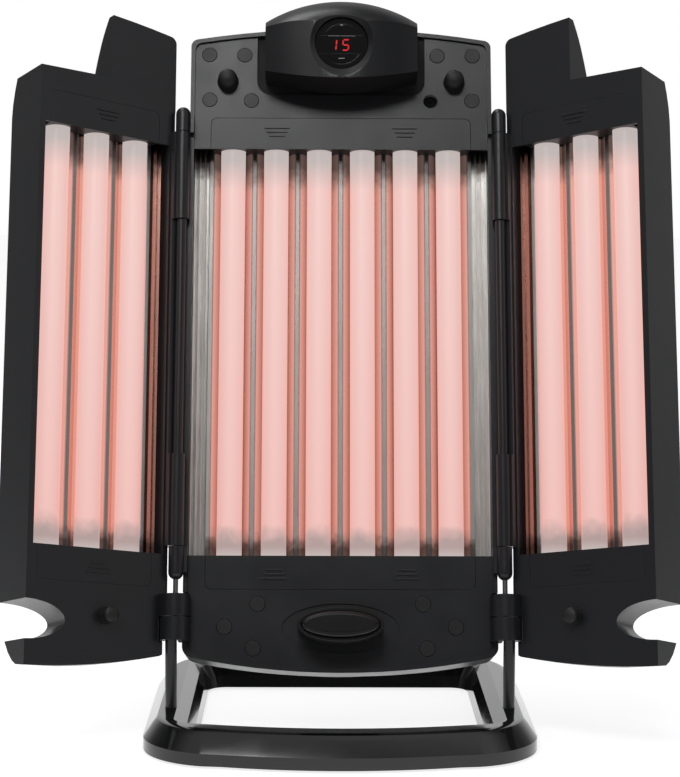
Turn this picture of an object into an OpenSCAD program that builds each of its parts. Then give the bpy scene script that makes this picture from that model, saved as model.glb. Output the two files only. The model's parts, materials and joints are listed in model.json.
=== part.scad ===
// Folding light box: a centre panel with six tubes, two hinged wings with three tubes each, and a ring stand.
// Millimetres, +Z up, the front faces -Y. The origin lies under the middle of the base ring.
// Body pieces are drawn in the panel's own axes: X right, Y back from the hinge line, Z up from the tilt axis

/* [Lamps] */
// Diameter of a tube
lamp_d = 16; // [14:0.5:18]
// Length of a tube over its end caps
lamp_l = 288; // [270:1:300]
// Distance between neighbouring tubes
lamp_pitch = 28; // [26:0.5:30]
// Wall of a tube's glass
lamp_wall = 0.8; // [0.6:0.1:1]
// Length of a metal end cap
cap_l = 9; // [6:0.5:10]
// How far a window hides each end of a tube
lamp_hidden = 11.2; // [10:0.2:14]
// Depth of the tube axes behind the panels' front plane
lamp_inset = 11.8; // [11.6:0.1:13]
// Diameter of a contact pin
pin_d = 2.3; // [2:0.1:2.6]
// Distance between the two contact pins of a cap
pin_pitch = 4.8; // [4.4:0.1:5.4]
// Length of a contact pin
pin_l = 6; // [4:0.5:7]

/* [Panels] */
// Window margin beyond the outer tubes' half pitch on the centre panel
window_margin = 11.3; // [10:0.1:14]
// Width of the raised rim round the centre panel
rim_w = 2.7; // [2.2:0.1:4]
// Depth of the plates below the rim
plate_recess = 1.8; // [1:0.1:2]
// Thickness of the front plates
plate_t = 2.6; // [2.2:0.1:3.5]
// Thickness of the moulded walls
wall = 2.2; // [1.8:0.1:2.8]
// Height of the window's lower edge above the tilt axis
window_sill = 46.5; // [44:0.5:52]
// Height of the panel above the window, on the centre line
top_plate_h = 82; // [78:0.5:90]
// How far the panel's lowest point hangs below the tilt axis
bottom_drop = 26.5; // [24:0.5:29]
// Radius of the arched top edge
top_arc_r = 581; // [450:1:800]
// Radius of the bowed bottom edge
bottom_arc_r = 462; // [400:1:700]
// Depth of the centre frame's side walls
center_side = 23; // [22.5:0.5:26]
// Greatest depth of the centre panel
center_depth = 47; // [45:0.5:52]
// Depth of the wing frame's side walls
wing_side = 8; // [7:0.5:10]
// Depth of a wing at its outer edge
wing_depth = 40; // [38:0.5:46]
// Depth of a wing at its hinge
wing_root_depth = 23; // [22:0.5:26]
// Half the gap between the folded wings
wing_gap = 1.8; // [1:0.1:3]
// First tube's distance from the hinge axis on a wing
wing_lamp_r = 26.2; // [25.5:0.1:27]

/* [Hinges] */
// Hinge axis in front of the panels' front plane
hinge_forward = 4.6; // [4.2:0.1:6]
// Gap from the centre panel's side to the hinge axis
hinge_gap = 4.2; // [3.6:0.1:5]
// Diameter of the hinge barrels
barrel_d = 9.5; // [8.5:0.1:10]
// Diameter of the hinge pins
hinge_pin_d = 3.2; // [3:0.1:4]
// Running clearance of a pin in its bore, on the radius
run_clear = 0.06; // [0.03:0.01:0.1]
// End gap between neighbouring knuckles
knuckle_gap = 0.5; // [0.3:0.1:0.8]
// Diameter of the lower hinge blocks
block_d = 18.6; // [17:0.1:19]
// Height of each half of a lower hinge block
block_h = 14.2; // [13.5:0.1:15]
// Angle of the wings forward of flat
wing_open = 34; // [20:1:60]

/* [Control head] */
// Width of the head
head_w = 98; // [92:0.5:99]
// How far the head stands out from the front plane
head_proud = 33; // [30:0.5:38]
// Height of the head's lower middle above the window's upper edge
head_foot = 37.5; // [35.2:0.1:40]
// Height of the head on its centre line
head_h = 55.5; // [53:0.5:62]
// Diameter of the dished rim
dish_d = 45; // [42:0.5:48]
// Diameter of the round face
face_d = 34; // [32:0.5:36]
// Turn of the head's front down from the panel's plane
face_tilt = 6; // [2:0.5:12]
// Depth of the dish
dish_depth = 6; // [4:0.5:8]
// Height of the display window
lens_h = 11.5; // [10:0.5:14]
// Travel of the keys
key_travel = 0.8; // [0.5:0.1:1.2]
// Gap round a moving key
key_gap = 0.3; // [0.2:0.05:0.5]

/* [Release button] */
// Half length of the oval sleeve
latch_a = 26.5; // [24:0.25:27]
// Half height of the oval sleeve
latch_b = 10.4; // [9.5:0.1:11]
// How far the sleeve stands out from the front plane
latch_proud = 25; // [20:0.5:30]
// How far the button stands out of its sleeve
button_proud = 5; // [4.5:0.25:8]
// Travel of the button
button_travel = 3; // [2:0.25:4]
// Wall of the sleeve
sleeve_wall = 2.2; // [1.8:0.1:2.6]
// Gap round the button
button_gap = 0.3; // [0.2:0.05:0.5]
// Clearance from the sleeve to the notches of the folded wings
notch_clear = 1.7; // [1.2:0.1:3]

/* [Stand] */
// Recline of the panels from upright
recline = 17; // [0:1:24]
// Width of the base ring
base_w = 241; // [233:1:262]
// Depth of the base ring
base_d = 253; // [240:1:285]
// Height of the base ring
base_h = 20; // [18:0.5:24]
// Width of the ring's section at its foot
bar_w = 32.5; // [30:0.5:36]
// Height of the upright band at the ring's foot
band_h = 7.5; // [5:0.5:10]
// Run of the outer bevel
bevel_run = 12; // [9:0.1:13]
// Run of the sloped inner wall
slope_run = 10; // [8:0.1:11]
// Height left at the bottom of the rear bar's scoop
scoop_h = 7; // [6:0.5:14]
// Bow of the front bar
front_bow = 26; // [20:0.5:30]
// Distance of the posts outside the hinge axes
post_out = 2.4; // [2:0.1:3]
// Diameter of the posts
post_d = 7.3; // [6.5:0.1:8]
// Height of the tilt axis above the ring
post_h = 49; // [46:0.5:60]
// Distance of the posts behind the ring's front edge
post_setback = 77; // [70:1:95]
// Diameter of the tilt pins
tilt_pin_d = 4; // [3.5:0.1:4.5]
// Height of the feet below the ring
foot_h = 1.5; // [1:0.25:3]
// Diameter of the feet
foot_d = 12; // [10:0.5:14]

/* [Hidden] */
$fn = 96;
eps = 0.01;
far = 900;
fit = 0.2;                                   // assembly gap between pieces that don't move
seat = 0.1;                                  // gap under a piece that lies on its seat
center_lamps = 6;
wing_lamps = 3;
front_y = hinge_forward;                     // the panels' front plane
plate_y = front_y + plate_recess;
lamp_y = front_y + lamp_inset;
window_h = lamp_l - 2 * lamp_hidden;
window_top = window_sill + window_h;
lamp_z = window_sill + window_h / 2;
panel_top = window_top + top_plate_h;
window_x = center_lamps / 2 * lamp_pitch + window_margin;
center_x = window_x + rim_w;                 // half width of the centre panel
hinge_x = center_x + hinge_gap;
wing_w = hinge_x - wing_gap;
wing_edge = 3.2;                             // wing's hinge-side edge, from the hinge axis
wing_window = [7, wing_w - 4];             // wing window, from the hinge axis
center_xs = [for (i = [0:center_lamps - 1]) (i - (center_lamps - 1) / 2) * lamp_pitch];
wing_xs = [for (i = [0:wing_lamps - 1]) wing_lamp_r + i * lamp_pitch];
corner_top_r = 5;
corner_low_r = 7;
tilt_z = foot_h + base_h + post_h;
post_y = post_setback - base_d / 2;
post_x = hinge_x + post_out;
sheet = 0.8;                                 // reflector sheet
trough_y = lamp_y + lamp_d / 2 + 0.7;        // reflector face behind a tube
ridge_y = lamp_y + 1.5;                      // reflector ridge between two tubes
hook_y = ridge_y - 0.5;                      // rear end of the lamp covers' inner lip
reflector_over = 23;                         // reflector beyond each window edge
cover_h = 21;                                // lamp covers' height
cover_t = 1.6;
cover_ledge = 2.6;                           // ledge that the lamp covers rest on
cover_x = window_x - 11;
cover_wing = [15, wing_w - 7];
rib_h = 0.7;
holder_t = 8;
holder_w = 13;
barrel_low = window_sill - 11.4;             // lower end of the hinge barrel
barrel_high = window_top + 21;
knuckle_l = 16;                              // centre panel's lower knuckles
knuckle_top_l = 12;                          // and its upper ones
leaf_l = 58;                                 // wing's knuckles
rod_d = 6.4;                                 // thin sleeve between the wing's knuckles
block_low = -block_h / 2;                    // foot of the lower hinge block
block_split = block_h / 2;
plug_d = 9.6;
plug_t = 1.4;
plugs_top = [[86, 64.3], [63, 64.2], [85.5, 33.5]];             // from the window's upper edge
plug_inner = [58.4, 33];
screw_hole = 5;                              // open hole with the front screw at its floor
screw_hole_d = 7;
plugs_low = [[51.5, -30.2], [72, -44.6], [54, -57.8]];          // from the window's lower edge
peg_d = 14;
peg_h = 2 * hinge_forward + plate_recess - 0.4;
peg_at = [73.8, 46];
pocket_x = head_w / 2 + 5.7;                 // recess that the head stands in
pocket_depth = 1.5;
pocket_r = 9;
dish_slope = 2.5;                            // depth of the dish's sloping rim
head_low = window_top + head_foot;
head_top = head_low + head_h;
head_corner_low = 7.5;                       // rise of the head's lower corners
head_corner_top = 14.7;                      // fall of its upper corners
head_roll = 14.2;                            // how far its upper edge rolls back
roll_w = 20;                                 // width of that roll
face_z = head_low + 23.9;
lens_drop = 0.2;                             // display window below the middle of the face
lens_low = -lens_h / 2 - lens_drop;
lens_high = lens_h / 2 - lens_drop;
face_groove = 26.5;                          // fine groove in the keys
face_y = front_y - head_proud + dish_depth;  // floor of the dish
key_t = 3.4;
key_stem = 11.5;                             // key stems, from the middle of the face
display_w = 18;
display_h = 10;
board_y = face_y + 10;
latch_z = 1.2;
notch_draft = 4;                             // slant of the notch's tip over the wing's depth
dish_a = latch_a + 10;                       // oval dish round the release button
dish_b = latch_b + 5;
screw_d = 3;
screw_head = 6;
notch_r = hinge_x - head_w / 2 - 3;          // wing notch round the head
notch_in = window_top + 37.4;
notch_out = head_low - 1.3;
bumper_d = 11;
bumper_at = [46, 6];
center_screws_at = [[84, window_top + 54], [84, -2], [46, window_top + 54], [46, -2]];
wing_screws_at = [[22, window_top + 40], [22, 8], [60, 14], [wing_w - 8.4, window_top + 29]];
wing_low_edge = 6;                           // wing's edge below the hinge block, clear of the post
eye_d = 8.6;                                 // pivot eye at the top of a post
slot_top = eye_d / 2 + 0.4;
pin_low = slot_top + 0.6;                    // lower end of the hinge pins
lip_t = 3;                                   // lip that keeps the release button in its sleeve
flange = 0.8;
spring_r = 3;                                // release spring, to the middle of its wire
ring_t = 2;                                  // floor of the dish round the face
face_flange = 1.5;                           // how far keys and window reach behind that floor
switch_h = 2.4;
board_t = 1.6;
board_low = 8;                               // board's lower edge above the foot of the head
board_short = 24;                            // how much shorter than the head the board is
inlet_w = 27;
inlet_h = 20;
inlet_z = window_sill + 20;
socket_w = 19;
socket_h = 13;
socket_depth = 12;
ballast_w = 38;
ballast_h = 90;
ballast_t = 19;
ballast_x = 46;
head_top_r = (pow(head_w / 2, 2) + pow(head_corner_top, 2)) / (2 * head_corner_top);
head_low_r = (pow(head_w / 2, 2) + pow(head_corner_low, 2)) / (2 * head_corner_low);
screw_l = 8;
cover_r = 4;                                 // corners of the lamp covers
board_room = 2.5;                            // from the board's edge to the head's wall
button_l = 11;                               // length of the button inside its sleeve
hinge_flute = 2.4;                           // a wing's first flute is narrower by this
screw_side = 64;                             // underside screws: from the rear edge on the sides,
screw_rear = 60;                             // from the side edge on the rear bar
screw_front = 60;                            // and from the front edge on the sides
base_screws_at = [[base_w / 2 - bar_w / 2 - 2, base_d / 2 - screw_side],
    [base_w / 2 - screw_rear, base_d / 2 - bar_w / 2], [base_w / 2 - bar_w / 2 - 6, screw_front - base_d / 2]];
foot_inset = 42;                             // feet, from the ring's front and rear edge
post_seat = 15;                              // depth of a post in the ring
opening_x = base_w / 2 - bar_w;              // half width of the ring's opening at its foot
side_slope = 1.3;                            // run of the inner slope on the sides, as a share of the front's
ring_front_r = 50;
ring_rear_r = 60;
opening_r = 12;
shoulder = [[0, 0], [0.72, 0.52], [0.92, 0.72], [1, 1]];    // ring's outer bevel: shares of its height and run
inner_wall = [[0, 0], [0.4, 0.12], [0.76, 0.42], [1, 1]];   // and its inner wall

black = "#232427";
gloss = "#101113";
dark = "#18191b";
metal = "#b9b8b6";
steel = "#55565a";
tube_pink = "#f2c4bc";

// Placing

module on_panel() translate([0, post_y, tilt_z]) rotate([-recline, 0, 0]) children();

module on_wing(side) on_panel() mirror([side < 0 ? 1 : 0, 0, 0]) translate([hinge_x, 0, 0])
    rotate([0, 0, -wing_open]) children();

// A front-view outline given depth from y0 to y1
module slab(y0, y1) translate([0, y1, 0]) rotate([90, 0, 0]) linear_extrude(y1 - y0) children();

// A side-view profile, drawn as (y, z), drawn out from x0 to x1
module along_x(x0, x1) translate([x0, 0, 0]) rotate([90, 0, 90]) linear_extrude(x1 - x0) children();

// A round rod along Y
module rod_y(x, z, y0, y1, d) translate([x, y1, z]) rotate([90, 0, 0]) cylinder(d = d, h = y1 - y0);

// Outlines in front view, each drawn smaller by the inset i

module panel_arcs(i) intersection() {
    translate([0, panel_top - top_arc_r]) circle(r = top_arc_r - i, $fn = 360);
    translate([0, bottom_arc_r - bottom_drop]) circle(r = bottom_arc_r - i, $fn = 360);
}

// What a fillet of radius r cuts from the corner of an upright side at x and the arched top or bottom edge
module corner_cut(x, r, up, i, turn) {
    arc_z = up > 0 ? panel_top - top_arc_r : bottom_arc_r - bottom_drop;
    arc_r = (up > 0 ? top_arc_r : bottom_arc_r) - i;
    cx = abs(x) - r;
    cz = arc_z + up * sqrt(pow(arc_r - r, 2) - cx * cx);
    translate([sign(x) * cx, cz]) difference() {
        translate([sign(x) * turn > 0 ? 0 : -3 * r, up > 0 ? 0 : -3 * r]) square(3 * r);
        circle(r = r);
    }
}

module center_outline(i) difference() {
    intersection() {
        panel_arcs(i);
        translate([i - center_x, -far / 2]) square([2 * (center_x - i), far]);
    }
    for (s = [-1, 1]) {
        corner_cut(s * (center_x - i), corner_top_r, 1, i, 1);
        corner_cut(s * (center_x - i), corner_low_r, -1, i, 1);
    }
}

module oval(a, b) polygon([for (t = [0:6:354]) [a * cos(t), b * sin(t)]]);

module wing_outline(i) difference() {
    intersection() {
        translate([hinge_x, 0]) panel_arcs(i);
        translate([wing_edge + i, -far / 2]) square([wing_w - wing_edge - 2 * i, far]);
    }
    translate([hinge_x, 0]) {
        corner_cut(wing_edge + i - hinge_x, corner_top_r, 1, i, 1);
        corner_cut(wing_edge + i - hinge_x, corner_low_r, -1, i, 1);
    }
    polygon([[notch_r - i, notch_in - i],
        [far, notch_in - i - (notch_in - notch_out) * (far - notch_r) / (wing_w - notch_r)],
        [far, far], [notch_r - i, far]]);
}

// What the wing's lower notch takes away, widened by i; its tip slants back
module low_notch(i) translate([hinge_x, 0, latch_z]) hull() for (k = [0, 1])
    slab(front_y - 2 + k * wing_depth, front_y - 2 + k * wing_depth + eps)
        oval(latch_a + notch_clear + i + k * notch_draft, latch_b + notch_clear + i);

// Pieces of the stand

function ring_bow(x) = front_bow * pow(x / (base_w / 2), 2);

// Points of a fillet of radius r about (x, y), from angle t0 to t1
function bend(x, y, r, t0, t1) =
    [for (k = [0:16]) let (t = t0 + (t1 - t0) * k / 16) [x + r * cos(t), y + r * sin(t)]];

// A ring outline of half width half, from a bowed front edge at low to a rear edge at rear
module ring_shape(half, low, rear, share, front_r, rear_r) {
    x = half - front_r;
    lift = low + share * ring_bow(x) + front_r;
    polygon(concat([for (k = [-1:0.1:1]) [k * x, low + share * ring_bow(k * x)]],
        bend(x, lift, front_r, -76, 0), bend(half - rear_r, rear - rear_r, rear_r, 0, 90),
        bend(rear_r - half, rear - rear_r, rear_r, 90, 180), bend(-x, lift, front_r, 180, 256)));
}

// Plan of the ring, set in by i on its outside
module ring_plan(i)
    ring_shape(base_w / 2 - i, i - base_d / 2, base_d / 2 - i, 1, ring_front_r - i, ring_rear_r - i);

// Plan of the ring's opening, widened by i
module opening_plan(i) ring_shape(opening_x + i * side_slope, bar_w - base_d / 2 - i, base_d / 2 - bar_w + i,
    0.9, opening_r, opening_r);

// A solid between two heights whose plan is set in, or widened for the opening, by run0 below and run1 above
module taper(z0, z1, run0, run1, outer) hull() for (k = [0, 1]) translate([0, 0, k ? z1 : z0])
    linear_extrude(eps) if (outer) ring_plan(k ? run1 : run0); else opening_plan(k ? run1 : run0);

function scoop(k) = scoop_h + (base_h - scoop_h) * k * k;

module base_ring() color(gloss) translate([0, 0, foot_h]) difference() {
    union() {
        linear_extrude(band_h) ring_plan(0);
        for (k = [1:3]) taper(band_h - eps + (base_h - band_h) * shoulder[k - 1][0],
            band_h - eps + (base_h - band_h) * shoulder[k][0],
            bevel_run * shoulder[k - 1][1], bevel_run * shoulder[k][1], true);
    }
    translate([0, 0, -1]) linear_extrude(far) opening_plan(0);
    for (k = [1:3]) taper(base_h * inner_wall[k - 1][0] - eps, base_h * inner_wall[k][0],
        slope_run * inner_wall[k - 1][1], slope_run * inner_wall[k][1], false);
    translate([0, far + base_d / 2 - bar_w - slope_run, 0]) rotate([90, 0, 0]) linear_extrude(far)
        polygon(concat([for (k = [-1:0.1:1]) [k * opening_x, scoop(k)]],
            [[opening_x, far], [-opening_x, far]]));
    for (s = [-1, 1]) translate([s * post_x, post_y, base_h - post_seat])
        cylinder(d = post_d + 2 * fit, h = far);
    translate([0, 0, -1]) linear_extrude(1 + wall + seat) difference() {
        ring_plan(wall);
        opening_plan(wall);
    }
    for (p = base_screws_at, s = [-1, 1]) translate([s * p[0], p[1], 0])
        cylinder(d = screw_d - 0.4, h = screw_l + 1);
}

module base_cover() color(dark) translate([0, 0, foot_h]) difference() {
    linear_extrude(wall) difference() {
        ring_plan(wall + fit);
        opening_plan(wall + fit);
    }
    for (p = base_screws_at, s = [-1, 1]) translate([s * p[0], p[1], -1]) {
        cylinder(d = screw_d + 0.4, h = far);
        cylinder(d = screw_head + 0.4, h = 2);
    }
}

module base_screws() color(steel) for (p = base_screws_at, s = [-1, 1])
    translate([s * p[0], p[1], foot_h]) union() {
        translate([0, 0, 0.1]) cylinder(d = screw_head, h = 0.9);
        cylinder(d = screw_d - 0.7, h = screw_l);
    }

module base_feet() color("#1b1b1b") for (sx = [-1, 1], sy = [-1, 1])
    translate([sx * (base_w / 2 - bar_w / 2 - 2), sy * (base_d / 2 - foot_inset), 0])
        rotate_extrude()
            polygon([[0, 0], [foot_d / 2 - 0.8, 0], [foot_d / 2, 0.8], [foot_d / 2, foot_h], [0, foot_h]]);

module post(side) color(steel) translate([side * post_x, post_y, 0]) difference() {
    union() {
        translate([0, 0, foot_h + base_h - post_seat + seat])
            cylinder(d = post_d, h = post_seat + post_h - seat);
        translate([-post_d / 2, 0, tilt_z]) rotate([0, 90, 0]) cylinder(d = eye_d, h = post_d);
    }
    translate([-far / 2, 0, tilt_z]) rotate([0, 90, 0]) cylinder(d = tilt_pin_d + 2 * run_clear, h = far);
}

module post_left() post(-1);
module post_right() post(1);

// Centre panel

module knuckle(z0, z1, d) translate([hinge_x, 0, z0]) cylinder(d = d, h = z1 - z0);

// Hole for a hinge pin, widened by the clearance on the radius
module pin_bore(x, clear) translate([x, 0, pin_low - seat])
    cylinder(d = hinge_pin_d + 2 * clear, h = barrel_high - pin_low + 2 * seat);

module center_frame() color(black) on_panel() difference() {
    union() {
        difference() {
            slab(front_y, front_y + center_side) center_outline(0);
            slab(plate_y + plate_t, far) center_outline(rim_w);
            slab(front_y - 1, plate_y) center_outline(rim_w);
            slab(-far, far) translate([-window_x, window_sill]) square([2 * window_x, window_h]);
            cover_pockets(-cover_x, cover_x, plate_y, fit);
            slab(0, plate_y + pocket_depth) pocket_outline();
            slab(0, plate_y + 1) translate([0, latch_z]) oval(dish_a, dish_b);
            for (p = plug_spots()) rod_y(p[0], p[1], 0, plate_y + plug_t, plug_d + 2 * fit);
            }
        rod_y(plug_inner[0], window_top + plug_inner[1], plate_y + 0.5, plate_y + screw_hole + 2, plug_d + 3);
        for (s = [-1, 1]) mirror([s < 0 ? 1 : 0, 0, 0]) {
            knuckle(barrel_low, barrel_low + knuckle_l, barrel_d);
            knuckle(barrel_high - knuckle_top_l, barrel_high, barrel_d);
            translate([hinge_x, 0, barrel_low]) sphere(d = barrel_d);
            translate([hinge_x, 0, barrel_high]) sphere(d = barrel_d);
            translate([center_x - rim_w, 0, barrel_low]) cube([hinge_gap + rim_w, front_y + 8, knuckle_l]);
            translate([center_x - rim_w, 0, barrel_high - knuckle_top_l])
                cube([hinge_gap + rim_w, front_y + 8, knuckle_top_l]);
            translate([center_x - 1, barrel_d / 2 + 0.6, barrel_low])
                cube([hinge_gap + 1.3, 2, barrel_high - barrel_low]);
            knuckle(block_low, block_split, block_d);
            translate([hinge_x - block_d / 2, 0, block_low]) cube([block_d / 2, front_y + 10, block_h]);
        }
        for (p = center_screws_at, s = [-1, 1])
            rod_y(s * p[0], p[1], plate_y + plate_t - eps, front_y + center_side, 8);
    }
    for (s = [-1, 1]) {
        pin_bore(s * hinge_x, 0.02);
        clevis_slot(s);
        translate([s * hinge_x, 0, block_split]) cylinder(d = block_d + 1.6, h = block_h + 2);
    }
    for (p = center_screws_at, s = [-1, 1]) rod_y(s * p[0], p[1], plate_y + plate_t, far, screw_d - 0.4);
    rod_y(plug_inner[0], window_top + plug_inner[1], 0, plate_y + screw_hole, screw_hole_d);
    translate([plug_inner[0], plate_y - eps, window_top + plug_inner[1]]) rotate([-90, 0, 0])
        cylinder(d1 = screw_hole_d + 2.4, d2 = screw_hole_d, h = 1.2);
}

// Recess round the head, with round lower corners, whose upper end is closed by the panel's rim beside the head
module pocket_outline() intersection() {
    union() {
        translate([-pocket_x, head_low - 0.5 + pocket_r]) square([2 * pocket_x, far]);
        translate([pocket_r - pocket_x, head_low - 0.5]) square([2 * (pocket_x - pocket_r), far]);
        for (s = [-1, 1]) translate([s * (pocket_x - pocket_r), head_low - 0.5 + pocket_r]) circle(r = pocket_r);
    }
    union() {
        center_outline(rim_w);
        translate([-head_w / 2 - fit, head_low]) square([head_w + 2 * fit, far]);
    }
}

// Slot in the lower hinge block for the eye of a post, closed in front, and the bore of its pin
module clevis_slot(s) {
    w = post_d + 0.8;
    translate([s * post_x - w / 2, -eye_d / 2 - 0.6, block_low - 1]) cube([w, far, slot_top - block_low + 1]);
    translate([s * (hinge_x - block_d / 2 + 2), 0, 0]) rotate([0, s * 90, 0])
        cylinder(d = tilt_pin_d + 0.04, h = far);
}

// Recesses for the two lamp covers over x0 to x1 with a seam gap, open behind for the ends of the tubes
module cover_pockets(x0, x1, y, gap) for (up = [-1, 1]) {
    translate([0, 0, up > 0 ? window_top : window_sill]) mirror([0, 0, up > 0 ? 0 : 1])
        slab(y - 9, y + cover_t + seat) cover_outline(x0, x1, gap);
    slab(y - 9, y + 9)
        translate([x0 + cover_ledge, up > 0 ? window_top - 1 : window_sill - cover_h + cover_ledge])
        square([x1 - x0 - 2 * cover_ledge, cover_h + 1 - cover_ledge]);
    slab(y - 9, y + 9) translate([x0 + 0.6, up > 0 ? window_top - 1 : window_sill - wall - fit])
        square([x1 - x0 - 1.2, wall + fit + 1]);
}

function plug_spots() = concat(
    [for (p = plugs_top, s = [-1, 1]) [s * p[0], window_top + p[1]]],
    [for (p = plugs_low, s = [-1, 1]) [s * p[0], window_sill + p[1]]],
    [[-plug_inner[0], window_top + plug_inner[1]]]);

module screw_plugs() color("#2b2c2e") on_panel() for (p = plug_spots())
    rod_y(p[0], p[1], plate_y - 0.3, plate_y + plug_t - seat, plug_d);

module front_screw() color(steel) on_panel() difference() {
    y = plate_y + screw_hole - seat;
    rod_y(plug_inner[0], window_top + plug_inner[1], y - 2.4, y, screw_head);
    for (a = [0, 90]) translate([plug_inner[0], y - 2.4, window_top + plug_inner[1]]) rotate([0, a, 0])
        cube([4, 1.6, 0.9], center = true);
}

// Side profile of a rear shell of depth d, with the depths top and low at the panel's upper and lower edge
function shell_profile(d, top, low) = let (z0 = window_top + 11, span = panel_top - z0) concat(
    [[front_y, -bottom_drop - 1]],
    [for (k = [1, 0.985, 0.95, 0.88, 0.78, 0.64, 0.48, 0.28, 0])
        [front_y + low + (d - low) * sqrt(1 - k * k), window_sill - k * (window_sill + bottom_drop + 0.1)]],
    [[front_y + d, window_sill + 6]],
    [for (k = [0:0.125:1]) [front_y + d - (d - top) * pow(k, 1.7), z0 + k * span]],
    [[front_y, panel_top]]);

module center_shell(i) intersection() {
    along_x(-far, far) polygon(shell_profile(center_depth - i, center_side + 4 - i, center_side + 4 - i));
    translate([0, 0, -far / 2]) linear_extrude(far) polygon([
        [i - center_x, front_y], [i - center_x, front_y + center_side + 5],
        [i - center_x + 9, front_y + center_depth - 7],
        [i - center_x + 22, front_y + center_depth - i], [center_x - 22 - i, front_y + center_depth - i],
        [center_x - 9 - i, front_y + center_depth - 7], [center_x - i, front_y + center_side + 5],
        [center_x - i, front_y]]);
}

module center_rear_cover() color(black) on_panel() difference() {
    union() {
        difference() {
            intersection() {
                slab(front_y + center_side, far) center_outline(0);
                center_shell(0);
            }
            intersection() {
                slab(0, far) center_outline(wall);
                center_shell(wall);
            }
        }
        intersection() {
            for (p = center_screws_at, s = [-1, 1]) rod_y(s * p[0], p[1], front_y + center_side, far / 2, 10);
            center_shell(0);
        }
    }
    for (p = center_screws_at, s = [-1, 1]) {
        rod_y(s * p[0], p[1], 0, far, screw_d + 0.4);
        rod_y(s * p[0], p[1], front_y + center_side + 3, far, screw_head + 1);
    }
    vents(-52, 52, 70, 9, window_top - 54, 7);
    vents(-52, 52, 70, 9, window_sill + 42, 7);
    slab(0, far) translate([-inlet_w / 2, inlet_z - inlet_h / 2]) square([inlet_w, inlet_h]);
}

// Rows of vent slots cut through a rear shell
module vents(x0, x1, w, step, z0, count) for (k = [0:count - 1], x = [x0, x1])
    translate([x - w / 4, front_y + center_side + 4, z0 + k * step]) cube([w / 2, far, 3.2]);

module mains_inlet() color(dark) on_panel() difference() {
    union() {
        slab(front_y + center_depth - socket_depth - 4, front_y + center_depth + 0.1)
            translate([fit - inlet_w / 2, inlet_z - inlet_h / 2 + fit])
            square([inlet_w - 2 * fit, inlet_h - 2 * fit]);
        slab(front_y + center_depth + seat, front_y + center_depth + 1.8)
            translate([-inlet_w / 2 - 2, inlet_z - inlet_h / 2 - 2])
            square([inlet_w + 4, inlet_h + 4]);
    }
    slab(front_y + center_depth - socket_depth, far) translate([-socket_w / 2, inlet_z - socket_h / 2])
        square([socket_w, socket_h]);
}

module ballasts() color("#8d8f90") on_panel() for (s = [-1, 1]) {
    y = front_y + center_depth - wall - seat;
    slab(y - ballast_t, y) translate([s * ballast_x - ballast_w / 2, lamp_z - ballast_h / 2])
        square([ballast_w, ballast_h]);
}

module center_screws() color(steel) on_panel()
    for (p = center_screws_at, s = [-1, 1]) case_screw(s * p[0], p[1], center_side);

module case_screw(x, z, side_depth) union() {
    rod_y(x, z, front_y + side_depth + 3 + seat, front_y + side_depth + 5, screw_head);
    rod_y(x, z, front_y + max(side_depth - 9, plate_t + 0.4), front_y + side_depth + 4, screw_d - 0.5);
}

// Small ribs of a reflector's outer strip from x0 to x1
function ribs(x0, x1) = let (n = floor((x1 - x0) / 3.2))
    [for (k = [0:1:n - 1]) each [[x0 + k * 3.2, ridge_y], [x0 + k * 3.2 + 1.6, ridge_y + 1.6]]];

// Front line of a fluted reflector over tubes at xs, from x0 to x1, its first ridge at a distance of inner
function flutes(xs, x0, x1, inner) =
    let (first = xs[0] - inner - 1.1, last = xs[len(xs) - 1] + lamp_pitch / 2)
    concat(ribs(x0, first),
    [for (k = [0:len(xs) - 1]) let (x = xs[k], left = k == 0 ? inner : lamp_pitch / 2)
        each [[x - left - 1.1, ridge_y], [x - left + 1.1, ridge_y],
            [x - 6.5, trough_y], [x + 6.5, trough_y]]],
    [[last - 1.1, ridge_y]], x1 - last > 4 ? [[last + 1.1, ridge_y]] : [],
    [for (p = ribs(x0, x0 + x1 - last - 1.1)) [last + 1.1 + 1.6 + p[0] - x0, 2 * ridge_y + 1.6 - p[1]]],
    [[x1, ridge_y]]);

module reflector(xs, x0, x1, inner) {
    line = flutes(xs, x0, x1, inner);
    back = [for (k = [len(line) - 1:-1:0]) line[k] + [0, sheet]];
    translate([0, 0, window_sill - reflector_over]) linear_extrude(window_h + 2 * reflector_over)
        polygon(concat(line, back));
}

module center_reflector() color(metal) on_panel()
    reflector(center_xs, -window_x + fit, window_x - fit, lamp_pitch / 2);

module lamp(x) color(tube_pink) translate([x, lamp_y, lamp_z]) difference() {
    cylinder(d = lamp_d, h = lamp_l - 2 * cap_l, center = true);
    cylinder(d = lamp_d - 2 * lamp_wall, h = lamp_l, center = true);
}

module caps(xs) color(metal)
    for (x = xs, s = [-1, 1]) translate([x, lamp_y, lamp_z]) mirror([0, 0, s < 0 ? 1 : 0])
    translate([0, 0, lamp_l / 2 - cap_l]) union() {
        cylinder(d = lamp_d, h = cap_l);
        for (k = [-1, 1]) translate([k * pin_pitch / 2, 0, cap_l - eps]) cylinder(d = pin_d, h = pin_l);
    }

module holders(xs) color("#e6e3dc")
    for (x = xs, s = [-1, 1]) translate([x, 0, lamp_z]) mirror([0, 0, s < 0 ? 1 : 0])
    translate([0, 0, lamp_l / 2 + seat]) difference() {
        linear_extrude(holder_t) union() {
            translate([0, lamp_y]) circle(d = holder_w);
            translate([-holder_w / 2, lamp_y]) square([holder_w, trough_y - seat - lamp_y]);
        }
        for (k = [-1, 1]) translate([k * pin_pitch / 2, lamp_y, -1])
            cylinder(d = pin_d + 0.2, h = pin_l + 1.5);
    }

module center_lamp(i) on_panel() lamp(center_xs[i - 1]);
module center_lamp_caps() on_panel() caps(center_xs);
module center_lamp_holders() on_panel() holders(center_xs);

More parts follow.
